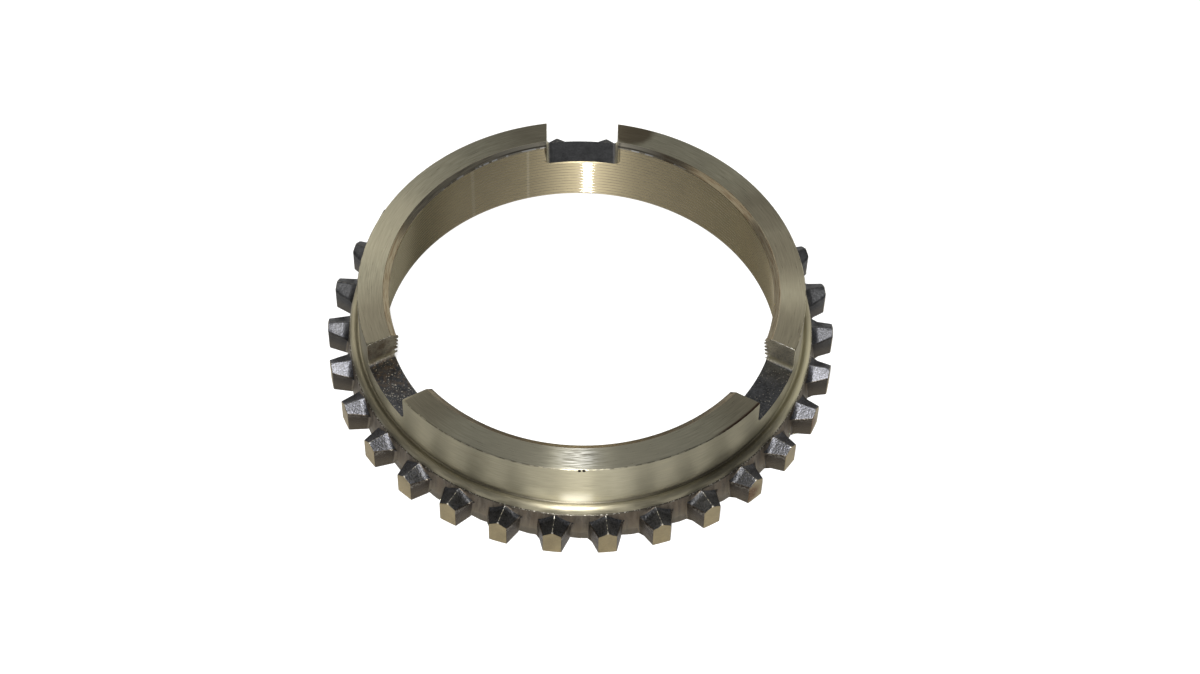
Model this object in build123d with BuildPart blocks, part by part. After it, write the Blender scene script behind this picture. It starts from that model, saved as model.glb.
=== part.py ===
from build123d import *
import math
import os

# Synchronizer ring of a manual gearbox: one brass forging, turned on its cone, rim and faces.
# Millimetres. The axis is Z. The wide end of the cone lies at Z = 0 and the notched rim faces up.
# The middle of the rear notch is on +Y, and a tooth lies on +X.

# Tapered bore: the friction cone, with a lead-in at its narrow end and a chamfer at its wide end
cone_small_radius = 30.9
cone_half_angle = 6.0
mouth_chamfer_width = 0.95
mouth_chamfer_depth = 0.6
tail_chamfer = 0.7

# Turned rim and the rounded shoulder at its foot, with a shallow relief groove between them
rim_wall = 5.1
rim_height = 8.4
rim_edge_break = 0.25
shoulder_width = 1.6
shoulder_rise = 1.35
shoulder_round = 0.75
relief_depth = 0.2
relief_width = 0.35
relief_runout = 0.4

# Forged land below the shoulder, and the blocking teeth on it
land_height = 5.15
land_lip = 0.15
land_draft_angle = 7.75
tooth_count = 30
tooth_height = 2.8
tip_width = 2.9
flank_angle = 20.0
roof_slope = 32.0
ridge_drop = 0.05
root_fillet = 0.45

# Notches in the rim for the strut keys
notch_count = 3
notch_width = 12.0
notch_depth = 5.0
notch_fillet = 0.8
first_notch_angle = 90.0

# Heights worked out from those, from the flat back face up
shoulder_top = land_height + shoulder_rise
relief_floor = shoulder_top - relief_depth
ring_height = shoulder_top + rim_height
ridge_height = land_height - ridge_drop
cone_top = ring_height - mouth_chamfer_depth
notch_floor = ring_height - notch_depth

# Radii worked out from the cone outwards
cone_length = cone_top - tail_chamfer
cone_large_radius = cone_small_radius + cone_length * math.tan(math.radians(cone_half_angle))
rim_radius = cone_small_radius + rim_wall
relief_end_radius = rim_radius + relief_width
shoulder_radius = rim_radius + shoulder_width
land_top_radius = shoulder_radius + land_lip
root_radius = land_top_radius + land_height * math.tan(math.radians(land_draft_angle))
tip_radius = root_radius + tooth_height

# A tooth widens from its tip down to its foot, which is sunk in the land
foot_radius = rim_radius
tip_half_width = tip_width / 2
foot_half_width = tip_half_width + (tip_radius - foot_radius) * math.tan(math.radians(flank_angle))
eaves_height = ridge_height - foot_half_width * math.tan(math.radians(roof_slope))


def rises_from_land(edge):
    """True for the upright corner between a tooth's flank and the land."""
    middle = edge.center()
    on_land = foot_radius < math.hypot(middle.X, middle.Y) < (root_radius + tip_radius) / 2
    return on_land and edge.bounding_box().size.Z > ridge_height / 2


# One blocking tooth on +X: a tapered block with its tip turned round
with BuildPart() as tooth:
    with BuildSketch(Plane.XY):
        with BuildLine():
            Polyline(
                (foot_radius, -foot_half_width),
                (tip_radius, -tip_half_width),
                (tip_radius, tip_half_width),
                (foot_radius, foot_half_width),
                close=True,
            )
        make_face()
        Circle(tip_radius, mode=Mode.INTERSECT)
    extrude(amount=ridge_height)

    # Its roof: two forged facets that meet in a level ridge along the middle
    with BuildSketch(Plane.YZ):
        with BuildLine():
            Polyline(
                (-foot_half_width, 0),
                (foot_half_width, 0),
                (foot_half_width, eaves_height),
                (0, ridge_height),
                (-foot_half_width, eaves_height),
                close=True,
            )
        make_face()
    extrude(amount=tip_radius, mode=Mode.INTERSECT)


with BuildPart() as synchronizer_ring:
    # The turned body, from its half section
    with BuildSketch(Plane.XZ) as section:
        shoulder_corner = (shoulder_radius, shoulder_top)
        rim_corner = (rim_radius, ring_height)
        with BuildLine():
            Polyline(
                (cone_large_radius + tail_chamfer, 0),
                (root_radius, 0),
                (land_top_radius, land_height),
                (shoulder_radius, land_height),
                shoulder_corner,
                (relief_end_radius + relief_runout, shoulder_top),
                (relief_end_radius, relief_floor),
                (rim_radius, relief_floor),
                rim_corner,
                (cone_small_radius + mouth_chamfer_width, ring_height),
                (cone_small_radius, cone_top),
                (cone_large_radius, tail_chamfer),
                close=True,
            )
        make_face()
        fillet(section.vertices().sort_by_distance(shoulder_corner)[0], radius=shoulder_round)
        chamfer(section.vertices().sort_by_distance(rim_corner)[0], length=rim_edge_break)
    revolve(axis=Axis.Z)

    # The teeth round the land, with a small radius at each root
    with PolarLocations(0, tooth_count):
        add(tooth.part)
    fillet(synchronizer_ring.edges().filter_by(rises_from_land), radius=root_fillet)

    # The notches, milled straight through the rim wall with rounded corners at the floor
    with BuildSketch(Plane.XY.offset(notch_floor)):
        with PolarLocations(rim_radius - rim_wall / 2, notch_count, start_angle=first_notch_angle):
            Rectangle(2 * rim_wall, notch_width)
    extrude(amount=notch_depth, mode=Mode.SUBTRACT)
    notch_corners = synchronizer_ring.edges().filter_by_position(Axis.Z, notch_floor, notch_floor)
    fillet(notch_corners.filter_by(GeomType.LINE), radius=notch_fillet)


os.makedirs("parts", exist_ok=True)
synchronizer_ring.part.label = "synchronizer_ring"
export_step(synchronizer_ring.part, "parts/synchronizer_ring.step")
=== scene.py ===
import math

import bmesh
import bpy
from mathutils import Matrix, Vector, noise


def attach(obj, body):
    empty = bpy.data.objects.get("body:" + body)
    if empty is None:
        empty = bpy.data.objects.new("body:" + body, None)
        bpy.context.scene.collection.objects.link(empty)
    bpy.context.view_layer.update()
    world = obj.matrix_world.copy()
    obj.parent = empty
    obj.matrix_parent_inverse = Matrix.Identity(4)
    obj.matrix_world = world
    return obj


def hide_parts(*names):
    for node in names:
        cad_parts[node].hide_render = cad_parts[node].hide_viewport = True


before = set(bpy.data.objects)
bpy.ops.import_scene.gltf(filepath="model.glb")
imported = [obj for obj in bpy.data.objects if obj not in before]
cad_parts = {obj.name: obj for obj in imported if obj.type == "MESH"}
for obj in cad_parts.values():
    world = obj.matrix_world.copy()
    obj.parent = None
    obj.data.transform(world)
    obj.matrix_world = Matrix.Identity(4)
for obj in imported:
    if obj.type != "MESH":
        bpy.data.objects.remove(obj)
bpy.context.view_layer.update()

# The ring's own sizes, in millimetres; its mesh is made in millimetres and scaled once
MM = 0.001
CONE_SMALL_RADIUS = 30.9
CONE_SLOPE = math.tan(math.radians(6))
MOUTH_CHAMFER_DEPTH = 0.6
TAIL_CHAMFER = 0.7
RIM_WIDTH = 5.1
RIM_HEIGHT = 8.4
SHOULDER_WIDTH = 1.6
SHOULDER_RISE = 1.35
SHOULDER_ROUND = 0.75
SHOULDER_ROUND_STEPS = 6
LAND_HEIGHT = 5.15
LAND_SLOPE = math.tan(math.radians(7.75))
ROOT_RADIUS = 38.451

# Heights and radii worked out from those
SHOULDER_TOP = LAND_HEIGHT + SHOULDER_RISE
RING_HEIGHT = SHOULDER_TOP + RIM_HEIGHT
CONE_TOP = RING_HEIGHT - MOUTH_CHAMFER_DEPTH
CONE_BOTTOM = TAIL_CHAMFER
CONE_LARGE_RADIUS = CONE_SMALL_RADIUS + (CONE_TOP - CONE_BOTTOM) * CONE_SLOPE
RIM_RADIUS = CONE_SMALL_RADIUS + RIM_WIDTH
SHOULDER_RADIUS = RIM_RADIUS + SHOULDER_WIDTH

# Notches for the strut keys, milled straight through the rim by a cutter that starts above it
NOTCH_HEADINGS = (90, 210, 330)
NOTCH_DEPTH = 5.0
NOTCH_FLOOR = RING_HEIGHT - NOTCH_DEPTH
NOTCH_HALF_WIDTH = 6.0
CUTTER_START = RING_HEIGHT + 1
NOTCH_FILLET = 0.8
NOTCH_FILLET_STEPS = 5

# Stretches of the turned half section, as (radius, height)
SHOULDER_FOOT = ((37.75, LAND_HEIGHT), (37.66, 5.2), (SHOULDER_RADIUS, 5.3))
RELIEF_RUNOUT = ((36.7, 6.48), (36.52, 6.4), (36.38, 6.32))
RELIEF_FLOOR = ((36.28, 6.3), (36.06, 6.3), (RIM_RADIUS, 6.36))
RIM_WALL = ((RIM_RADIUS, NOTCH_FLOOR), (RIM_RADIUS, 14.72))
RIM_EDGE = ((35.96, 14.82), (35.86, 14.88), (35.76, RING_HEIGHT))
CONE_MOUTH = ((31.88, RING_HEIGHT), (31.8, 14.87), (30.95, 14.34), (CONE_SMALL_RADIUS, CONE_TOP))

# Teeth, drawn out of the land: each takes eight columns of the spun body, and three rows
COLUMNS = 240
COLUMNS_PER_TOOTH = 8
TEETH = COLUMNS // COLUMNS_PER_TOOTH
TOOTH_ANGLE = 360 // TEETH
LAND_ROWS = (0.0, 1.7, 3.45)
ROOF_ROW = len(LAND_ROWS) - 1
DRAW_STEPS = (0.0, 0.3, 0.65, 1.0)
TIP_STEP = len(DRAW_STEPS) - 1
TIP_RADIUS = 41.249
TIP_HALF_WIDTH = 1.45
FLANK_SLOPE = math.tan(math.radians(20))
ROOF_SLOPE = math.tan(math.radians(32))
RIDGE_HEIGHT = 5.1
FORGING_SHIFT = 0.05
FORGING_DROP = 0.09

# The fine thread of the friction cone: (rise, cut) round one turn, with a flat crest and a narrow groove
THREAD_PITCH = 0.8
THREAD_STEPS = ((0.0, 0), (0.64, 0), (0.669, 1), (0.73, 1))
THREAD_DEPTH = 0.036
THREAD_RUNOUT = 0.3
THREAD_LEAD_TURNS = 1.5
THREAD_SPARE_TURNS = 2

# By the two front notches its grooves are deeper and wider, and the cutter has left burrs on its crests
DEEP_HEADINGS = (210, 330)
DEEP_REACH = 14
DEEP_FADE = 3
DEEP_EXTRA = 0.35
DEEP_WIDEN = 0.36
BURR = 0.4

# How near points lie to be on one surface, and to be merged
ON_SURFACE = 0.01
MERGE = 2e-3

# How much each kind of edge is softened, and the angle from which an edge of the thread is sharp
SOFT_ROOT = 0.34
SOFT_EAVES = 0.16
SOFT_RIDGE = 0.1
SOFT_FOOT = 0.1
SOFT_NOTCH = 0.08
SOFT_TIP = 0.12
SOFT_TIP_AT_SIDES = 0.13
SOFT_TIP_ENDS_MOST = 0.14
SOFT_WORN_ROOF = 0.13
SHARP_THREAD_ANGLE = 0.35

# Tips that are rounded more than the rest, by the tooth's heading; their roofs are softer too
WORN_TIPS = {24: 0.6, 12: 0.42, 0: 0.25, 156: 0.4, 168: 0.35, 180: 0.22}

# The ring's surfaces, in the order in which their finishes go on it
TURNED, FORGED, MILLED, CONE, FLOOR, TIP, LAND, TOP, WALL, CHAMFER, GROOVE = range(11)


def cone_radius(height):
    return CONE_SMALL_RADIUS + (CONE_TOP - height) * CONE_SLOPE


def spin_round(bm, points, merge):
    """Spins a chain of (radius, height) points once round the axis, and gives the last column's points."""
    chain = [bm.verts.new((radius, 0, height)) for radius, height in points]
    links = [bm.edges.new(pair) for pair in zip(chain, chain[1:])]
    spun = bmesh.ops.spin(
        bm,
        geom=chain + links,
        cent=(0, 0, 0),
        axis=(0, 0, 1),
        angle=math.tau,
        steps=COLUMNS,
        use_merge=merge,
    )
    return {item for item in spun["geom_last"] if isinstance(item, bmesh.types.BMVert)}


def body_section():
    """The turned body's half section, from the cone's wide end round to its mouth."""
    points = [(CONE_LARGE_RADIUS, CONE_BOTTOM), (CONE_LARGE_RADIUS + TAIL_CHAMFER, 0.0)]
    points += [(ROOT_RADIUS - height * LAND_SLOPE, height) for height in LAND_ROWS]
    points += SHOULDER_FOOT
    for step in range(SHOULDER_ROUND_STEPS + 1):
        turn = math.radians(90 * step / SHOULDER_ROUND_STEPS)
        radius = SHOULDER_RADIUS - SHOULDER_ROUND + SHOULDER_ROUND * math.cos(turn)
        points.append((radius, SHOULDER_TOP - SHOULDER_ROUND + SHOULDER_ROUND * math.sin(turn)))
    return [*points, *RELIEF_RUNOUT, *RELIEF_FLOOR, *RIM_WALL, *RIM_EDGE, *CONE_MOUTH]


def tooth_point(across, height, out):
    """A point of the tooth on +X: across is -1 to 1, out is 0 on the land and 1 at the tip."""
    x = ROOT_RADIUS
    # Width, height and radius hang together, so each pass brings the point closer to all three
    for _ in range(8):
        y = across * (TIP_HALF_WIDTH + (TIP_RADIUS - x) * FLANK_SLOPE)
        z = RIDGE_HEIGHT - abs(y) * ROOF_SLOPE if height == LAND_ROWS[ROOF_ROW] else height
        land = ROOT_RADIUS - z * LAND_SLOPE
        radius = land + out * (TIP_RADIUS - land)
        x = math.sqrt(radius * radius - y * y)
    return Vector((x, y, z))


def lay_out_teeth(bm):
    """Notes on each point of the land which tooth it belongs to, its row, and its place across the tooth."""
    tooth_of = bm.verts.layers.int.new("tooth")
    across_of = bm.verts.layers.float.new("across")
    row_of = bm.verts.layers.int.new("row")
    middle = COLUMNS_PER_TOOTH // 2
    half = middle - 1
    for vert in bm.verts:
        radius = math.hypot(vert.co.x, vert.co.y)
        for row, height in enumerate(LAND_ROWS):
            land = ROOT_RADIUS - height * LAND_SLOPE
            if abs(vert.co.z - height) < ON_SURFACE and abs(radius - land) < ON_SURFACE:
                column = round(math.degrees(math.atan2(vert.co.y, vert.co.x)) * COLUMNS / 360) % COLUMNS
                offset = (column + middle) % COLUMNS_PER_TOOTH - middle
                if abs(offset) <= half:
                    vert[tooth_of] = ((column - offset) // COLUMNS_PER_TOOTH) % TEETH + 1
                    vert[across_of] = offset / half
                    vert[row_of] = row
    return tooth_of, across_of, row_of


def forge_teeth(bm):
    """Draws the teeth out of the land, step by step, each a little uneven, and gives their tip faces."""
    tooth_of, across_of, row_of = lay_out_teeth(bm)
    step_of = bm.verts.layers.int.new("step")
    patches = [face for face in bm.faces if all(vert[tooth_of] for vert in face.verts)]
    patches = [face for face in patches if len({vert[tooth_of] for vert in face.verts}) == 1]
    for step, out in enumerate(DRAW_STEPS):
        if step:
            drawn = bmesh.ops.extrude_face_region(bm, geom=patches)["geom"]
            bmesh.ops.delete(bm, geom=patches, context="FACES")
            patches = [item for item in drawn if isinstance(item, bmesh.types.BMFace)]
            moved = [item for item in drawn if isinstance(item, bmesh.types.BMVert)]
        else:
            moved = [vert for vert in bm.verts if vert[tooth_of]]
        for vert in moved:
            vert[step_of] = step
            turn = Matrix.Rotation((vert[tooth_of] - 1) * math.tau * COLUMNS_PER_TOOTH / COLUMNS, 3, "Z")
            place = tooth_point(vert[across_of], LAND_ROWS[vert[row_of]], out)
            if step and vert[row_of]:
                seed = Vector((vert[tooth_of] * 7.3, vert[across_of] * 2.1, step * 1.9))
                place.y += FORGING_SHIFT * noise.noise(seed) * (1 - out)
                place.z -= FORGING_DROP * abs(noise.noise(seed + Vector((3.1, 0, 0))))
            vert.co = turn @ place
    return set(patches)


def cut_thread(bm):
    """Spins the cone's surface as one long thread that runs out at both ends and is deeper by two notches."""
    before = set(bm.verts)
    turns = math.ceil((CONE_TOP - CONE_BOTTOM) / THREAD_PITCH) + THREAD_SPARE_TURNS
    start = CONE_BOTTOM - THREAD_LEAD_TURNS * THREAD_PITCH
    rows = []
    for turn in range(turns):
        for rise, cut in THREAD_STEPS:
            rows.append((CONE_SMALL_RADIUS + cut * THREAD_DEPTH, start + turn * THREAD_PITCH + rise))
    last = spin_round(bm, rows, False)
    crest_end = THREAD_STEPS[1][0]
    for vert in [vert for vert in bm.verts if vert not in before]:
        x, y, z = vert.co
        turn = math.tau if vert in last else math.atan2(y, x) % math.tau
        if turn > math.tau - 1e-4 and vert not in last:
            turn = 0.0
        height = min(max(z + THREAD_PITCH * turn / math.tau, CONE_BOTTOM), CONE_TOP)
        runout = min((CONE_TOP - height) / THREAD_RUNOUT, (height - CONE_BOTTOM) / THREAD_RUNOUT, 1.0)
        cut = (math.hypot(x, y) - CONE_SMALL_RADIUS) / THREAD_DEPTH
        away = min(abs(math.degrees(turn) - heading) for heading in DEEP_HEADINGS)
        deep = min(max((DEEP_REACH - away) / DEEP_FADE, 0), 1)
        if abs((z - start) % THREAD_PITCH - crest_end) < 1e-3:
            height = max(height - DEEP_WIDEN * deep * runout, CONE_BOTTOM)
        radius = cone_radius(height) + cut * (THREAD_DEPTH + DEEP_EXTRA * deep) * runout
        vert.co = (radius * math.cos(turn), radius * math.sin(turn), height)


def notch_outline():
    """The milled outline in the plane across a notch, as corners (x, z) from right to left."""
    corners = [(NOTCH_HALF_WIDTH, CUTTER_START)]
    for side in (1, -1):
        arc = []
        for step in range(NOTCH_FILLET_STEPS + 1):
            turn = math.radians(90 * step / NOTCH_FILLET_STEPS)
            x = NOTCH_HALF_WIDTH - NOTCH_FILLET + NOTCH_FILLET * math.cos(turn)
            arc.append((side * x, NOTCH_FLOOR + NOTCH_FILLET - NOTCH_FILLET * math.sin(turn)))
        corners += arc if side == 1 else arc[::-1]
    corners.append((-NOTCH_HALF_WIDTH, CUTTER_START))
    return corners


def mill_notch(bm, heading):
    """Mills one notch straight through the rim, with a rounded corner on each side of its floor."""
    wall_middle = 33.4
    rim_from = 25
    reach = NOTCH_HALF_WIDTH + 2
    above_floor = NOTCH_FLOOR + 2e-5
    there = Matrix.Rotation(math.radians(90 - heading), 3, "Z")
    bmesh.ops.rotate(bm, cent=(0, 0, 0), matrix=there, verts=bm.verts)
    corners = notch_outline()
    planes = []
    for (ax, az), (bx, bz) in zip(corners, corners[1:]):
        planes.append((Vector((ax, 0, az)), Vector((bz - az, 0, ax - bx)).normalized()))

    def faces_inside(cuts):
        """The rim's faces above the floor that lie inside all the cuts made so far."""
        found = []
        for face in bm.faces:
            by_notch = all(vert.co.y > rim_from and abs(vert.co.x) < reach for vert in face.verts)
            if by_notch and max(vert.co.z for vert in face.verts) > above_floor:
                middle = face.calc_center_median()
                if all((middle - place).dot(away) > 0 for place, away in cuts):
                    found.append(face)
        return found

    milled = faces_inside([])
    for number, (place, away) in enumerate(planes):
        parts = list(dict.fromkeys(item for face in milled for item in (face, *face.edges, *face.verts)))
        bmesh.ops.bisect_plane(bm, geom=parts, dist=1e-5, plane_co=place, plane_no=away)
        milled = faces_inside(planes[: number + 1])
    bmesh.ops.delete(bm, geom=milled, context="FACES")

    # The opening's edge is closed by one face for each plane, between joints from the cone to the rim
    cut = dict.fromkeys(vert for edge in bm.edges if edge.is_boundary for vert in edge.verts)
    bmesh.ops.remove_doubles(bm, verts=list(cut), dist=MERGE)
    rims = [edge for edge in bm.edges if edge.is_boundary]
    ends = dict.fromkeys(vert for edge in rims for vert in edge.verts)
    joints = []
    for cx, cz in corners[1:-1]:
        pair = []
        for outside in (False, True):
            side = [vert for vert in ends if (vert.co.y > wall_middle) == outside]
            pair.append(min(side, key=lambda vert: math.hypot(vert.co.x - cx, vert.co.z - cz)))
        joints.append(bm.edges.new(pair))
    made = []
    for place, away in planes:
        loop = [
            edge
            for edge in rims + joints
            if all(abs((vert.co - place).dot(away)) < 2.5e-3 for vert in edge.verts)
        ]
        made += bmesh.ops.contextual_create(bm, geom=loop)["faces"]
    bmesh.ops.rotate(bm, cent=(0, 0, 0), matrix=there.inverted(), verts=bm.verts)
    return made


def raise_burrs(bm, heading):
    """Pushes the thread's crests out a little at a front notch's rear side, as the cutter leaves them."""
    near_notch = -25
    rear_from = -15
    lowest = NOTCH_FLOOR + 0.2
    inward = Vector((-math.cos(math.radians(heading)), -math.sin(math.radians(heading)), 0))
    for vert in bm.verts:
        kinds = {face.material_index for face in vert.link_faces}
        crest = math.hypot(vert.co.x, vert.co.y) < cone_radius(vert.co.z) + 0.02
        if crest and kinds & {MILLED, FLOOR} and kinds & {CONE, GROOVE} and CHAMFER not in kinds:
            if vert.co.dot(inward) < near_notch and vert.co.y > rear_from and vert.co.z > lowest:
                vert.co += BURR * inward


def sort_body_faces(bm, tips):
    """Gives the faces of the turned and forged body their surfaces."""
    land_radius = 37.7
    wall_foot = 6.36
    wall_radius = 36.1
    top_from = 14.89
    mouth_radius = 32
    step_of = bm.verts.layers.int["step"]
    for face in bm.faces:
        middle = face.calc_center_median()
        radius = math.hypot(middle.x, middle.y)
        drawn = any(vert[step_of] for vert in face.verts)
        if face in tips:
            face.material_index = TIP
        elif drawn and max(vert.co.z for vert in face.verts) > ON_SURFACE:
            face.material_index = FORGED
        elif radius > land_radius and ON_SURFACE < middle.z < LAND_HEIGHT:
            face.material_index = LAND
        elif middle.z > top_from:
            face.material_index = TOP
        elif middle.z > CONE_TOP and radius < mouth_radius:
            face.material_index = CHAMFER
        elif middle.z > wall_foot and radius < wall_radius:
            face.material_index = WALL


def soften_edges(bm):
    """Marks how much the bevel softens each edge, and which edges of the thread stay sharp."""
    tooth_of = bm.verts.layers.int["tooth"]
    step_of = bm.verts.layers.int["step"]
    across_of = bm.verts.layers.float["across"]
    row_of = bm.verts.layers.int["row"]
    soften = bm.edges.layers.float.new("bevel_weight_edge")
    for edge in bm.edges:
        a, b = edge.verts
        kinds = {face.material_index for face in edge.link_faces}
        if a[tooth_of] and b[tooth_of]:
            steps = (a[step_of], b[step_of])
            rows = (a[row_of], b[row_of])
            flank = abs(a[across_of]) > 0.99 and abs(b[across_of]) > 0.99
            middle = abs(a[across_of]) < 0.01 and abs(b[across_of]) < 0.01
            heading = TOOTH_ANGLE * (a[tooth_of] - 1)
            side = max(abs(math.cos(math.radians(heading))), math.sin(math.radians(heading)))
            worn = WORN_TIPS.get(heading, SOFT_TIP + SOFT_TIP_AT_SIDES * max(side - 0.5, 0))
            softer = SOFT_WORN_ROOF if heading in WORN_TIPS else 0.0
            if flank and steps == (0, 0):
                edge[soften] = SOFT_ROOT
            elif rows == (ROOF_ROW, ROOF_ROW) and steps[0] != steps[1]:
                edge[soften] = SOFT_EAVES + softer if flank else SOFT_RIDGE + softer if middle else 0.0
            elif steps == (TIP_STEP, TIP_STEP) and flank:
                edge[soften] = worn
            elif steps == (TIP_STEP, TIP_STEP) and rows in ((ROOF_ROW, ROOF_ROW), (0, 0)):
                edge[soften] = min(worn, SOFT_TIP_ENDS_MOST)
            elif flank and rows == (0, 0):
                edge[soften] = SOFT_FOOT
        elif kinds & {MILLED, FLOOR} and kinds & {TOP, WALL, CHAMFER}:
            edge[soften] = SOFT_NOTCH
        elif kinds <= {CONE, GROOVE} and edge.calc_face_angle(0) > SHARP_THREAD_ANGLE:
            edge.smooth = False


def make_ring():
    bm = bmesh.new()
    spin_round(bm, body_section(), True)
    tips = forge_teeth(bm)
    sort_body_faces(bm, tips)
    body_faces = set(bm.faces)
    cut_thread(bm)
    for face in bm.faces:
        if face not in body_faces:
            face.material_index = CONE
    bmesh.ops.remove_doubles(bm, verts=bm.verts, dist=MERGE)
    for heading in NOTCH_HEADINGS:
        for face in mill_notch(bm, heading):
            level = max(vert.co.z for vert in face.verts) - NOTCH_FLOOR
            face.material_index = FLOOR if level < NOTCH_FILLET - 0.01 else MILLED
    bmesh.ops.recalc_face_normals(bm, faces=bm.faces)
    # Faces of the thread that face up take a much paler copy of the cone's brass: painted light where they
    # catch the lamp
    for face in bm.faces:
        faces_up = face.normal.z > 0.3
        if face.material_index == CONE and faces_up:
            face.material_index = GROOVE
    for heading in DEEP_HEADINGS:
        raise_burrs(bm, heading)
    soften_edges(bm)
    for face in bm.faces:
        face.smooth = True
    bmesh.ops.scale(bm, vec=(MM, MM, MM), verts=bm.verts)
    mesh = bpy.data.meshes.new("forged_ring")
    bm.to_mesh(mesh)
    bm.free()
    ring = bpy.data.objects.new("forged_ring", mesh)
    bpy.context.scene.collection.objects.link(ring)
    bevel = ring.modifiers.new("softened edges", "BEVEL")
    bevel.limit_method = "WEIGHT"
    bevel.width = MM
    bevel.segments = 3
    bevel.use_clamp_overlap = False
    even = ring.modifiers.new("even shading", "WEIGHTED_NORMAL")
    even.keep_sharp = True
    return ring


# Nodes that the finishes are made of


def node(tree, kind, inputs=(), **settings):
    made = tree.nodes.new(kind)
    for key, value in settings.items():
        setattr(made, key, value)
    for key, value in dict(inputs).items():
        if isinstance(value, bpy.types.NodeSocket):
            tree.links.new(value, made.inputs[key])
        else:
            made.inputs[key].default_value = value
    return made


def calc(tree, operation, *values, clamp=False):
    made = node(tree, "ShaderNodeMath", enumerate(values), operation=operation, use_clamp=clamp)
    return made.outputs[0]


def times(tree, first, *others):
    for other in others:
        first = calc(tree, "MULTIPLY", first, other)
    return first


def larger(tree, one, other):
    return calc(tree, "MAXIMUM", one, other)


def flipped(tree, mask):
    return calc(tree, "SUBTRACT", 1.0, mask)


def step_up(tree, value, start, end):
    """0 below start and 1 above end, smooth between them."""
    made = node(
        tree,
        "ShaderNodeMapRange",
        {"Value": value, "From Min": start, "From Max": end},
        interpolation_type="SMOOTHSTEP",
    )
    return made.outputs["Result"]


def step_down(tree, value, start, end):
    return flipped(tree, step_up(tree, value, start, end))


def near(tree, value, target, reach, fade):
    """1 where value is within reach of target, falling to 0 over fade."""
    off = calc(tree, "ABSOLUTE", calc(tree, "SUBTRACT", value, target))
    return step_down(tree, off, reach, reach + fade)


def swing(tree, value, gain, base, clamp=False):
    """Adds to base how far a noise is from its middle, times gain."""
    return calc(tree, "MULTIPLY_ADD", calc(tree, "SUBTRACT", value, 0.5), gain, base, clamp=clamp)


def blend(tree, amount, low, high):
    """Mixes two colours, each a socket or three numbers."""
    low = low if isinstance(low, bpy.types.NodeSocket) else (*low, 1)
    high = high if isinstance(high, bpy.types.NodeSocket) else (*high, 1)
    return node(tree, "ShaderNodeMix", {0: amount, 6: low, 7: high}, data_type="RGBA").outputs[2]


def tint(tree, paint, mask, strength, colour):
    """Lays a colour over paint where mask is, at most to strength."""
    return blend(tree, times(tree, mask, strength), paint, colour)


def shades(tree, tone, colour, depth):
    """A colour that tone makes darker or paler, by the share depth."""
    darker = [part * (1 - depth) for part in colour]
    paler = [part * (1 + depth) for part in colour]
    return blend(tree, tone, darker, paler)


def grain(tree, place, per_mm, detail):
    made = node(tree, "ShaderNodeTexNoise", {"Vector": place, "Scale": per_mm, "Detail": detail})
    return made.outputs["Fac"]


class Metal:
    """A new material, with the ring's round coordinates in millimetres and a unit heading from its axis."""

    def __init__(self, name):
        self.material = bpy.data.materials.new(name)
        self.material.use_nodes = True
        self.tree = tree = self.material.node_tree
        self.shader = tree.nodes["Principled BSDF"]
        place = node(tree, "ShaderNodeTexCoord").outputs["Object"]
        self.place = node(tree, "ShaderNodeVectorMath", {0: place, 3: 1000}, operation="SCALE").outputs[0]
        self.x, self.y, self.height = node(tree, "ShaderNodeSeparateXYZ", {0: self.place}).outputs
        flat = node(tree, "ShaderNodeCombineXYZ", {0: self.x, 1: self.y}).outputs[0]
        self.radius = node(tree, "ShaderNodeVectorMath", {0: flat}, operation="LENGTH").outputs["Value"]
        self.heading = node(tree, "ShaderNodeVectorMath", {0: flat}, operation="NORMALIZE").outputs[0]

    def lathe_lines(self, per_mm, turns, detail):
        """Noise drawn out round the axis: per_mm lines to the millimetre, shorter where turns is more."""
        tree = self.tree
        hx, hy, _ = node(tree, "ShaderNodeSeparateXYZ", {0: self.heading}).outputs
        line = calc(tree, "MULTIPLY_ADD", self.height, 0.7, self.radius)
        parts = {0: times(tree, line, per_mm), 1: times(tree, hx, turns), 2: times(tree, hy, turns)}
        return grain(tree, node(tree, "ShaderNodeCombineXYZ", parts).outputs[0], 1.0, detail)

    def spots(self, centres, reach, fade, ragged=0.0):
        """1 around each of a few places, in millimetres, with an edge that ragged pushes in and out."""
        tree = self.tree
        total = 0.0
        for centre in centres:
            away = node(tree, "ShaderNodeVectorMath", {0: self.place, 1: centre}, operation="DISTANCE")
            away = calc(tree, "ADD", away.outputs["Value"], ragged)
            total = larger(tree, total, step_down(tree, away, reach, reach + fade))
        return total

    def toward(self, degrees, reach, fade):
        """1 within reach degrees of a heading, falling to 0 over fade degrees."""
        aim = (math.cos(math.radians(degrees)), math.sin(math.radians(degrees)), 0)
        along = node(self.tree, "ShaderNodeVectorMath", {0: self.heading, 1: aim}, operation="DOT_PRODUCT")
        start, end = math.cos(math.radians(reach + fade)), math.cos(math.radians(reach))
        return step_up(self.tree, along.outputs["Value"], start, end)

    def finish(self, paint, rough, relief, depth):
        """Puts on the paint, the roughness, and a relief of the given depth in millimetres."""
        bump = node(self.tree, "ShaderNodeBump", {"Strength": 1.0, "Distance": depth * MM, "Height": relief})
        self.tree.links.new(paint, self.shader.inputs["Base Color"])
        self.tree.links.new(rough, self.shader.inputs["Roughness"])
        self.tree.links.new(bump.outputs[0], self.shader.inputs["Normal"])
        self.shader.inputs["Metallic"].default_value = 1.0
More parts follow.
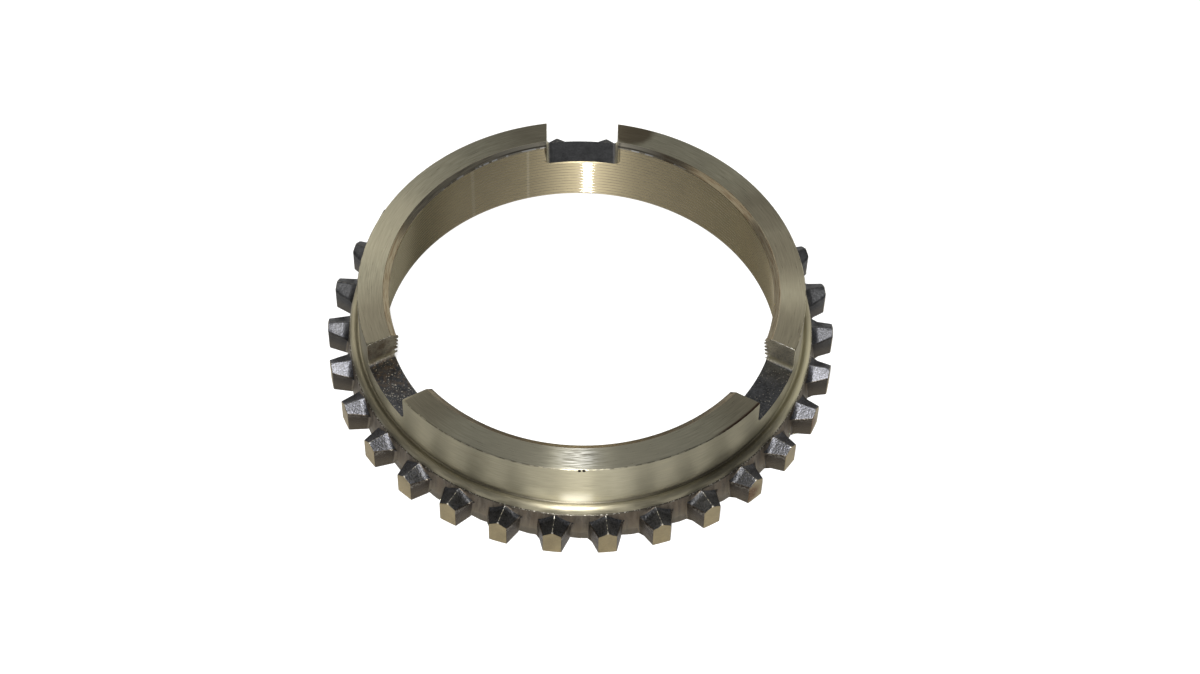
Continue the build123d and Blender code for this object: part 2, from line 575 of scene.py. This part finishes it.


# Marks of use, stains and rust, and painted light and shade. Places are in millimetres and headings in
# degrees.
NICKS = ((-0.25, -36.0, 14.7), (0.44, -36.0, 14.71))
TIP_STAINS = ((26.6, -31.4, 2.2), (38.8, -13.9, 2.0), (36.9, -18.3, 2.5))
# A ragged patch of painted shade on the top face by the rear notch
PAINTED_SHADE_PATCH = ((8.2, 34.4, 14.9),)
SCOURED = ((-0.3, -33.5, 14.9),)
# Places on the top face painted paler, as painted highlights
PAINTED_LIGHT_PLACES = (
    (-31.6, 9.5, 14.9),
    (-30.5, 14.5, 14.9),
    (33.6, -0.6, 14.9),
    (-9.5, -32.2, 14.9),
    (7.5, -32.6, 14.9),
)
# Places on the top face painted darker, as painted shade
PAINTED_SHADE_PLACES = (
    (-7.5, 34.0, 14.9),
    (29.5, -14.0, 14.9),
    (-30.5, -12.5, 14.9),
    (26.2, -21.2, 14.9),
    (-24.0, -22.5, 14.9),
    (29.5, 15.5, 14.9),
    (31.9, -9.0, 14.9),
    (-32.2, -7.0, 14.9),
    (-31.8, -10.2, 14.9),
    (32.6, 7.6, 14.9),
)
# Painted reflections on the wall: upright stripes, from this heading and this many degrees apart
REFLECTION_BAND_START = -96.0
REFLECTION_BAND_WIDTH = 10.7
RIM_STAIN = (-44, 5, 8)
RIM_STAIN_BROWN = (0.045, 0.018, 0.01)
# Paler brass on the notches' rounded corners: a painted highlight
FILLET_HIGHLIGHT_BRASS = (0.8, 0.74, 0.53)
FLANK_BROWN = (0.075, 0.062, 0.048)


def face_marks(metal, fine, paint):
    """Painted highlights and painted shade in places on the top face and a painted highlight along its front,
    painted shade in a brown patch by the rear notch, and a brown stain by the right one.
    """
    tree = metal.tree
    ragged = times(tree, calc(tree, "SUBTRACT", grain(tree, metal.place, 0.25, 4), 0.5), 3.0)
    # Painted highlights in places
    paint = tint(tree, paint, metal.spots(PAINTED_LIGHT_PLACES, 1.5, 6.5), 0.35, (0.5, 0.46, 0.34))
    # A painted highlight along the front of the top face
    paint = tint(tree, paint, metal.toward(-95, 28, 14), 0.2, (0.5, 0.48, 0.38))
    # Painted shade by the rear notch
    paint = tint(tree, paint, metal.spots(PAINTED_SHADE_PATCH, 2.8, 2.0, ragged), 0.8, (0.085, 0.062, 0.036))
    # Painted shade in places
    paint = tint(tree, paint, metal.spots(PAINTED_SHADE_PLACES, 2.0, 9.0, ragged), 0.55, (0.12, 0.1, 0.07))
    scratches = blend(tree, step_up(tree, fine, 0.42, 0.58), (0.06, 0.06, 0.06), (0.36, 0.36, 0.35))
    paint = tint(tree, paint, metal.spots(SCOURED, 1.0, 4.0), 0.6, scratches)
    stain = times(tree, step_up(tree, metal.radius, 35.5, 35.8), metal.toward(*RIM_STAIN))
    return tint(tree, paint, stain, 0.9, RIM_STAIN_BROWN)


def wall_marks(metal, fine, paint):
    """Painted reflection in faint upright stripes, painted shade on darker stretches and painted highlights
    on paler ones, darker along the foot, a worn or stained top edge, and two nicks.
    """
    tree = metal.tree
    hx, hy, _ = node(tree, "ShaderNodeSeparateXYZ", {0: metal.heading}).outputs
    # Painted reflection: faint upright stripes round the wall
    turn = calc(tree, "SUBTRACT", calc(tree, "ARCTAN2", hy, hx), math.radians(REFLECTION_BAND_START))
    reflection_band = calc(tree, "COSINE", times(tree, turn, 360 / REFLECTION_BAND_WIDTH))
    paint = blend(tree, calc(tree, "MULTIPLY_ADD", reflection_band, 0.14, 0.14), paint, (0.2, 0.185, 0.13))
    # Painted shade: darker stretches of the wall at the front centre, most higher up, low down at the right
    # front, and at the left and the right
    low = step_down(tree, metal.height, 7.6, 10.0)
    centre = calc(tree, "MULTIPLY_ADD", flipped(tree, low), 0.3, 0.08)
    painted_shade = times(tree, metal.toward(-95, 3, 8), centre)
    painted_shade = larger(tree, painted_shade, times(tree, low, 0.45, metal.toward(-46, 8, 6)))
    painted_shade = larger(tree, painted_shade, times(tree, metal.toward(-168, 6, 14), 0.75))
    painted_shade = larger(tree, painted_shade, times(tree, metal.toward(-17, 6, 10), 0.5))
    paint = blend(tree, painted_shade, paint, (0.14, 0.125, 0.085))
    # Painted highlights: a paler stretch right of the front, and the lamp's glare low on the wall at the
    # front centre
    paint = tint(tree, paint, metal.toward(-72, 7, 8), 0.2, (0.6, 0.56, 0.42))
    bright = times(tree, step_down(tree, metal.height, 6.6, 9.6), 0.4, metal.toward(-91, 0.5, 4.5))
    paint = blend(tree, bright, paint, (0.8, 0.78, 0.7))
    # Darker along the foot of the wall
    paint = tint(tree, paint, near(tree, metal.height, 6.4, 0.12, 0.4), 0.25, (0.075, 0.065, 0.045))
    edge = step_up(tree, metal.height, 14.72, 14.82)
    rubbed = times(tree, edge, step_up(tree, grain(tree, metal.place, 1.6, 3), 0.42, 0.6))
    paint = tint(tree, paint, rubbed, 0.25, (0.6, 0.57, 0.48))
    broken = times(tree, edge, step_up(tree, grain(tree, metal.place, 0.9, 3), 0.44, 0.54))
    paint = tint(tree, paint, broken, 0.7, (0.12, 0.11, 0.085))
    paint = tint(tree, paint, times(tree, edge, metal.toward(*RIM_STAIN)), 0.9, RIM_STAIN_BROWN)
    return blend(tree, metal.spots(NICKS, 0.22, 0.1), paint, (0.006, 0.005, 0.004))


def shoulder_marks(metal, fine, paint):
    """Painted highlight and painted shade on stretches of the shoulder, darker in the relief groove and most
    at the front, and a burr where the shoulder meets the land.
    """
    tree = metal.tree
    # Painted highlight: a paler stretch at the right, where the shoulder reflects the room
    paint = tint(tree, paint, metal.toward(-17, 7, 12), 0.58, (0.64, 0.6, 0.42))
    # Painted shade: darker stretches at the left front and the right front
    painted_shade = larger(tree, metal.toward(-150, 8, 14), metal.toward(-49, 4, 10))
    paint = tint(tree, paint, painted_shade, 0.55, (0.1, 0.09, 0.062))
    # Darker in the relief groove, most at the front
    groove = times(tree, near(tree, metal.radius, 36.2, 0.15, 0.25), step_up(tree, metal.height, 6.0, 6.3))
    groove_darkness = calc(tree, "MULTIPLY_ADD", metal.toward(-90, 22, 25), 0.5, 0.1)
    paint = tint(tree, paint, groove, groove_darkness, (0.075, 0.07, 0.06))
    burr = times(tree, step_up(tree, metal.radius, 37.57, 37.62), near(tree, metal.height, 5.24, 0.06, 0.08))
    speck = step_up(tree, grain(tree, metal.place, 3.4, 2), 0.52, 0.66)
    return blend(tree, burr, paint, blend(tree, speck, (0.1, 0.09, 0.07), (0.5, 0.47, 0.4)))


def cone_marks(metal, fine, paint):
    """The cone is painted paler below the rear notch as painted light, with two faint upright lines, and
    painted shade darkens its sides.
    """
    tree = metal.tree
    # Painted light on the cone below the rear notch
    paint = tint(tree, paint, step_up(tree, metal.y, 14.0, 32.0), 0.3, (0.6, 0.55, 0.44))
    # Painted shade at the cone's sides, most on the left
    painted_side_shade = times(tree, step_up(tree, times(tree, metal.x, -1.0), 20.0, 28.0), 0.75)
    painted_side_shade = larger(tree, painted_side_shade, times(tree, step_up(tree, metal.x, 18.0, 25.0), 0.22))
    paint = blend(tree, painted_side_shade, paint, (0.13, 0.115, 0.06))
    faint = times(tree, near(tree, metal.x, -18.3, 0.1, 0.3), 0.6)
    lines = larger(tree, near(tree, metal.x, -9.1, 0.08, 0.25), faint)
    lines = times(tree, lines, step_up(tree, metal.y, 10.0, 20.0))
    return tint(tree, paint, lines, 0.25, (0.75, 0.7, 0.55))


def groove_marks(metal, fine, paint):
    """The thread's grooves as the cone, but freshly cut by the two front notches and painted near white there
    as a highlight.
    """
    paint = cone_marks(metal, fine, paint)
    # Painted highlight where the two front notches cut the thread
    painted_glint = larger(metal.tree, *(metal.toward(heading, 12, 2) for heading in DEEP_HEADINGS))
    return tint(metal.tree, paint, painted_glint, 0.7, (0.98, 0.97, 0.93))


def chamfer_marks(metal, fine, paint):
    """Brown lines of old oil round the chamfer, worn pale streaks at the rear left, a painted highlight at
    the rear with a near-black line along it, and painted glints in bright dashes at its foot there, where the
    thread starts.
    """
    tree = metal.tree
    paint = tint(tree, paint, step_up(tree, fine, 0.45, 0.6), 0.6, (0.1, 0.055, 0.025))
    worn = times(tree, metal.toward(135, 14, 10), step_up(tree, fine, 0.35, 0.6))
    paint = tint(tree, paint, worn, 0.45, (0.75, 0.68, 0.5))
    # Painted highlight on the chamfer at the rear
    rear = metal.toward(92, 18, 12)
    paint = tint(tree, paint, rear, 0.6, (0.75, 0.7, 0.55))
    groove = times(tree, near(tree, metal.height, 14.5, 0.04, 0.06), rear)
    paint = tint(tree, paint, groove, 0.8, (0.06, 0.05, 0.04))
    # Painted glints: bright dashes low on the chamfer at the rear
    dashes = step_up(tree, metal.lathe_lines(0.3, 22, 2), 0.5, 0.56)
    dashes = times(tree, step_down(tree, metal.height, 14.38, 14.46), metal.toward(98, 22, 25), dashes)
    return blend(tree, dashes, paint, (0.95, 0.93, 0.85))


def tooth_marks(metal, fine, paint):
    """Ridges and eaves rubbed bright, brown flanks, and painted glints sparkling on the teeth at the front
    sides.
    """
    tree = metal.tree
    pitches = calc(tree, "DIVIDE", calc(tree, "ARCTAN2", metal.y, metal.x), math.radians(TOOTH_ANGLE))
    share = calc(tree, "SUBTRACT", calc(tree, "FRACT", calc(tree, "ADD", pitches, 0.5)), 0.5)
    across = calc(tree, "ABSOLUTE", times(tree, metal.radius, math.radians(TOOTH_ANGLE), share))
    half_at_axis = TIP_HALF_WIDTH + TIP_RADIUS * FLANK_SLOPE
    half = calc(tree, "MULTIPLY_ADD", metal.radius, -FLANK_SLOPE, half_at_axis)
    inset = calc(tree, "SUBTRACT", half, across)
    top = step_up(tree, metal.height, 4.7, 4.9)
    ridge = times(tree, near(tree, across, 0.0, 0.02, 0.06), top)
    eaves = times(tree, near(tree, inset, 0.02, 0.02, 0.08), step_up(tree, metal.height, 3.0, 3.4), 0.3)
    patchy = step_up(tree, grain(tree, metal.place, 2.6, 2), 0.42, 0.6)
    edges = times(tree, larger(tree, ridge, eaves), patchy)
    peak = times(tree, near(tree, across, 0.0, 0.1, 0.1), near(tree, metal.radius, 41.15, 0.12, 0.1), top)
    edges = larger(tree, edges, peak)
    front = calc(tree, "DIVIDE", metal.y, times(tree, metal.radius, -1.0))
    side = calc(tree, "ABSOLUTE", calc(tree, "DIVIDE", metal.x, metal.radius))
    flank = near(tree, inset, 0.0, 0.1, 0.1)
    paint = blend(tree, times(tree, flank, step_up(tree, front, -0.2, 0.5)), paint, FLANK_BROWN)
    foot = times(tree, flank, step_down(tree, metal.height, 0.8, 3.2))
    paint = tint(tree, paint, foot, 0.35, (0.18, 0.15, 0.105))
    # Painted glints: bluish grey specks on the facets of the teeth at the front sides
    painted_glint = times(tree, step_up(tree, side, 0.5, 0.8), step_up(tree, front, -0.15, 0.15))
    sparkle = step_up(tree, grain(tree, metal.place, 5.5, 2), 0.38, 0.68)
    painted_glint = times(tree, painted_glint, flipped(tree, flank), sparkle)
    paint = blend(tree, painted_glint, paint, (0.125, 0.125, 0.14))
    rubbed = calc(tree, "MULTIPLY_ADD", step_up(tree, front, 0.3, 0.8), 0.8, 0.2)
    return tint(tree, paint, edges, rubbed, (0.55, 0.52, 0.45))


def floor_marks(metal, fine, paint):
    """Painted highlights on the rounded corners beside a notch's floor, and rust and bright specks on it,
    most in the left notch.
    """
    tree = metal.tree
    left = step_down(tree, metal.x, -26.0, -20.0)
    front = step_down(tree, metal.y, 0.0, 20.0)
    inner = calc(tree, "MULTIPLY_ADD", step_up(tree, metal.radius, 31.5, 34.0), -0.3, 0.4)
    # Painted highlight on the rounded corners, more on the bore's side
    corner = times(tree, step_up(tree, metal.height, 9.9, 10.05), step_up(tree, fine, 0.25, 0.6))
    paint = tint(tree, paint, corner, inner, (0.36, 0.31, 0.2))
    # Painted highlight higher on the rounded corners
    paint = tint(tree, paint, step_up(tree, metal.height, 10.0, 10.4), 0.8, FILLET_HIGHLIGHT_BRASS)
    rust = times(tree, step_up(tree, grain(tree, metal.place, 1.6, 4), 0.42, 0.66), left)
    rust = times(tree, rust, step_up(tree, metal.y, -20.5, -14.0))
    paint = tint(tree, paint, rust, 0.55, (0.16, 0.115, 0.075))
    speck = times(tree, step_up(tree, grain(tree, metal.place, 3.8, 2), 0.63, 0.7), front)
    return tint(tree, paint, speck, calc(tree, "MULTIPLY_ADD", left, 0.35, 0.3), (0.7, 0.66, 0.56))


def side_marks(metal, fine, paint):
    """Painted glints as bright specks on the top edge of a notch's side, a painted highlight on its rounded
    foot, and brown scale on the left one.
    """
    tree = metal.tree
    left = step_down(tree, metal.x, -26.0, -20.0)
    scale = times(tree, left, step_up(tree, grain(tree, metal.place, 0.5, 3), 0.4, 0.6))
    paint = tint(tree, paint, scale, 0.7, (0.15, 0.1, 0.065))
    # Painted highlight on the rounded foot
    paint = tint(tree, paint, step_down(tree, metal.height, 10.6, 11.2), 0.6, FILLET_HIGHLIGHT_BRASS)
    # Painted glints along the top edge
    speck = step_up(tree, grain(tree, metal.place, 1.5, 2), 0.48, 0.56)
    return tint(tree, paint, step_up(tree, metal.height, 14.7, 14.8), speck, (0.9, 0.88, 0.8))


# Finishes


def turned_brass(name, colour, roughness, anisotropy, line_depth, contrast, marks):
    """A turned surface, with the lathe's fine lines round the axis and a glare drawn out across them."""
    metal = Metal(name)
    tree = metal.tree
    fine = metal.lathe_lines(6.0, 12, 2)
    tone = swing(tree, fine, contrast, 0.5)
    tone = swing(tree, metal.lathe_lines(2.6, 7, 3), 0.2, tone)
    tone = swing(tree, grain(tree, metal.place, 0.12, 5), 0.6, tone, clamp=True)
    paint = marks(metal, fine, shades(tree, tone, colour, 0.3))
    metal.finish(paint, swing(tree, fine, 0.08 * contrast, roughness, clamp=True), fine, line_depth)
    spin = node(tree, "ShaderNodeVectorMath", {0: (0, 0, 1), 1: metal.heading}, operation="CROSS_PRODUCT")
    tree.links.new(spin.outputs[0], metal.shader.inputs["Tangent"])
    metal.shader.inputs["Anisotropic"].default_value = anisotropy
    metal.shader.inputs["Anisotropic Rotation"].default_value = 0.25
    return metal.material


def forged_brass(name, colour, roughness, grain_depth, marks):
    """A grainy forged or milled surface, whose grain is calmer behind the front teeth."""
    metal = Metal(name)
    tree = metal.tree
    coarse = calc(tree, "MULTIPLY_ADD", step_up(tree, metal.y, -26.0, -6.0), -0.6, 1.0)
    fine = swing(tree, grain(tree, metal.place, 3.6, 3), coarse, 0.5)
    tone = swing(tree, fine, 2.2, 0.5)
    tone = swing(tree, grain(tree, metal.place, 0.5, 4), 1.2, tone, clamp=True)
    paint = marks(metal, fine, shades(tree, tone, colour, 0.5))
    metal.finish(paint, swing(tree, fine, 0.3, roughness, clamp=True), fine, grain_depth)
    return metal.material


def drawn_land(name, colour):
    """The land between the teeth, paler at its foot, with brown streaks drawn up and down by the die."""
    metal = Metal(name)
    tree = metal.tree
    parts = {0: metal.x, 1: metal.y, 2: times(tree, metal.height, 0.12)}
    upright = node(tree, "ShaderNodeCombineXYZ", parts).outputs[0]
    streak = grain(tree, upright, 1.6, 4)
    fine = grain(tree, metal.place, 4.0, 3)
    tone = swing(tree, fine, 0.8, swing(tree, streak, 1.7, 0.5), clamp=True)
    paint = shades(tree, tone, colour, 0.5)
    brown = step_up(tree, grain(tree, upright, 0.8, 3), 0.5, 0.62)
    paint = tint(tree, paint, brown, 0.35, (0.12, 0.085, 0.055))
    paint = tint(tree, paint, step_down(tree, metal.height, 0.6, 3.8), 0.5, (0.29, 0.25, 0.18))
    rough = swing(tree, fine, 0.3, 0.46, clamp=True)
    metal.finish(paint, rough, calc(tree, "ADD", streak, fine), 0.02)
    return metal.material


def turned_tip(name, colour):
    """The round tips, turned after forging, with a few brown stains."""
    metal = Metal(name)
    tree = metal.tree
    fine = grain(tree, metal.place, 3.0, 3)
    tone = swing(tree, fine, 0.9, 0.5)
    tone = swing(tree, grain(tree, metal.place, 0.35, 3), 1.4, tone, clamp=True)
    stain = times(tree, metal.spots(TIP_STAINS, 0.9, 1.8), step_up(tree, fine, 0.2, 0.5))
    paint = tint(tree, shades(tree, tone, colour, 0.25), stain, 0.9, (0.12, 0.055, 0.018))
    metal.finish(paint, swing(tree, fine, 0.2, 0.45, clamp=True), fine, 0.006)
    return metal.material


ring = make_ring()
for material in (
    turned_brass("turned shoulder", (0.34, 0.31, 0.22), 0.43, 0.88, 0.004, 1.5, shoulder_marks),
    forged_brass("forged brass", (0.066, 0.066, 0.067), 0.43, 0.075, tooth_marks),
    forged_brass("milled brass", (0.46, 0.42, 0.32), 0.42, 0.01, side_marks),
    turned_brass("threaded cone", (0.33, 0.265, 0.13), 0.5, 0.95, 0.001, 0.4, cone_marks),
    forged_brass("notch floor", (0.062, 0.063, 0.067), 0.36, 0.02, floor_marks),
    turned_tip("turned tip", (0.34, 0.28, 0.165)),
    drawn_land("drawn land", (0.155, 0.132, 0.104)),
    turned_brass("turned top face", (0.34, 0.32, 0.24), 0.3, 1.0, 0.005, 1.5, face_marks),
    turned_brass("turned wall", (0.455, 0.42, 0.3), 0.43, 0.96, 0.003, 0.9, wall_marks),
    turned_brass("bore chamfer", (0.27, 0.235, 0.165), 0.17, 0.3, 0.001, 1.0, chamfer_marks),
    # The thread's upward faces: the cone's brass painted paler, as painted light
    turned_brass("thread groove painted light", (0.84, 0.8, 0.7), 0.103, 1.0, 0.0001, 0.1, groove_marks),
):
    ring.data.materials.append(material)
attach(ring, "root")
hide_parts("synchronizer_ring")


# Bench, room, camera and lamp

# Lighter and darker parts of the room: where each lies, where it starts and is full, and its light
ROOM_PARTS = (
    ((0.82, 0.48, 0.31), 0.84, 0.95, (1.2, 1.18, 1.1)),
    ((-0.96, 0.1, 0.26), 0.86, 0.95, (0.15, 0.152, 0.165)),
    ((0.66, -0.02, 0.75), 0.87, 0.95, (0.17, 0.175, 0.19)),
    ((-0.655, 0.03, 0.755), 0.965, 0.982, (1.1, 1.06, 0.98)),
    ((-0.38, 0.64, 0.667), 0.945, 0.97, (1.9, 1.85, 1.75)),
)
ROOM_BY_CAMERA = (0.17, 0.172, 0.185)

# The rear of the room, from low down to overhead
ROOM_LEVELS = (
    (0.15, (0.8, 0.79, 0.77, 1)),
    (0.75, (0.48, 0.48, 0.46, 1)),
    (1.0, (0.32, 0.33, 0.35, 1)),
)

BENCH_HALF_SIZE = 4.0
BENCH_GREY = (0.55, 0.55, 0.55, 1)


def make_bench():
    """A pale bench that looks white to the camera and keeps the ring's shadow."""
    bm = bmesh.new()
    bmesh.ops.create_grid(bm, x_segments=1, y_segments=1, size=BENCH_HALF_SIZE)
    mesh = bpy.data.meshes.new("bench")
    bm.to_mesh(mesh)
    bm.free()
    floor = bpy.data.objects.new("bench", mesh)
    bpy.context.scene.collection.objects.link(floor)
    material = bpy.data.materials.new("white bench")
    material.use_nodes = True
    tree = material.node_tree
    shader = tree.nodes["Principled BSDF"]
    shader.inputs["Base Color"].default_value = BENCH_GREY
    shader.inputs["Roughness"].default_value = 0.9
    shader.inputs["Specular IOR Level"].default_value = 0.0
    ray = node(tree, "ShaderNodeLightPath").outputs
    seen = larger(tree, ray["Is Camera Ray"], ray["Is Glossy Ray"])
    seen = larger(tree, seen, ray["Is Transmission Ray"])
    glow = calc(tree, "MULTIPLY_ADD", ray["Is Camera Ray"], 0.6, times(tree, seen, 0.05))
    shader.inputs["Emission Color"].default_value = (1, 1, 1, 1)
    tree.links.new(glow, shader.inputs["Emission Strength"])
    mesh.materials.append(material)


def make_room():
    """A soft grey room, darker on the camera's side, that is plain white where the camera sees it."""
    world = bpy.data.worlds.new("studio")
    bpy.context.scene.world = world
    world.use_nodes = True
    tree = world.node_tree
    direction = node(tree, "ShaderNodeTexCoord").outputs["Generated"]
    _, rearward, rise = node(tree, "ShaderNodeSeparateXYZ", {0: direction}).outputs
    ramp = node(tree, "ShaderNodeValToRGB", {0: rise})
    stops = ramp.color_ramp.elements
    stops.new(ROOM_LEVELS[1][0])
    for stop, (level, colour) in zip(stops, ROOM_LEVELS):
        stop.position = level
        stop.color = colour
    room = blend(tree, step_up(tree, rearward, 0.0, 0.45), ROOM_BY_CAMERA, ramp.outputs[0])
    for towards, start, end, colour in ROOM_PARTS:
        facing = node(tree, "ShaderNodeVectorMath", {0: direction, 1: towards}, operation="DOT_PRODUCT")
        room = blend(tree, step_up(tree, facing.outputs["Value"], start, end), room, colour)
    camera_ray = node(tree, "ShaderNodeLightPath").outputs["Is Camera Ray"]
    background = tree.nodes["Background"]
    tree.links.new(blend(tree, camera_ray, room, (1, 1, 1)), background.inputs[0])
    background.inputs[1].default_value = 1.0


make_bench()
make_room()

# The camera, as fitted to the ring's own edges
ELEVATION = math.radians(51.9755)
AZIMUTH = math.radians(-1.5217)
ROLL = math.radians(1.8168)
DISTANCE = 11.4364 * RIM_RADIUS * MM
ASIDE = -0.0811 * RIM_RADIUS * MM
UPWARD = 0.2257 * RIM_RADIUS * MM
SENSOR_WIDTH = 36
FOCAL_LENGTH = 77.03
back = Vector(
    (
        math.sin(AZIMUTH) * math.cos(ELEVATION),
        -math.cos(AZIMUTH) * math.cos(ELEVATION),
        math.sin(ELEVATION),
    )
)
level = Vector((math.cos(AZIMUTH), math.sin(AZIMUTH), 0))
upright = back.cross(level)
right = math.cos(ROLL) * level + math.sin(ROLL) * upright
up = math.cos(ROLL) * upright - math.sin(ROLL) * level
lens = bpy.data.cameras.new("camera")
lens.sensor_width = SENSOR_WIDTH
lens.lens = FOCAL_LENGTH
lens.clip_start = 0.01
camera = bpy.data.objects.new("camera", lens)
bpy.context.scene.collection.objects.link(camera)
stand = Vector((0, 0, RING_HEIGHT * MM)) + DISTANCE * back - ASIDE * right - UPWARD * up
camera.matrix_world = Matrix.Translation(stand) @ Matrix((right, up, back)).transposed().to_4x4()
bpy.context.scene.camera = camera

# A small lamp just above the lens, aimed at the middle of the ring
LAMP_ASIDE = -0.006
LAMP_RISE = 0.03
LAMP_SIZE = 0.022
LAMP_POWER = 1.9
LAMP_TARGET = Vector((0, 0, 0.007))
light = bpy.data.lights.new("flash", "AREA")
light.shape = "DISK"
light.size = LAMP_SIZE
light.energy = LAMP_POWER
lamp = bpy.data.objects.new("flash", light)
bpy.context.scene.collection.objects.link(lamp)
lamp_place = stand + LAMP_ASIDE * right + LAMP_RISE * up
lamp.location = lamp_place
lamp.rotation_euler = (LAMP_TARGET - lamp_place).to_track_quat("-Z", "Y").to_euler()

bpy.context.scene.view_settings.view_transform = "Standard"
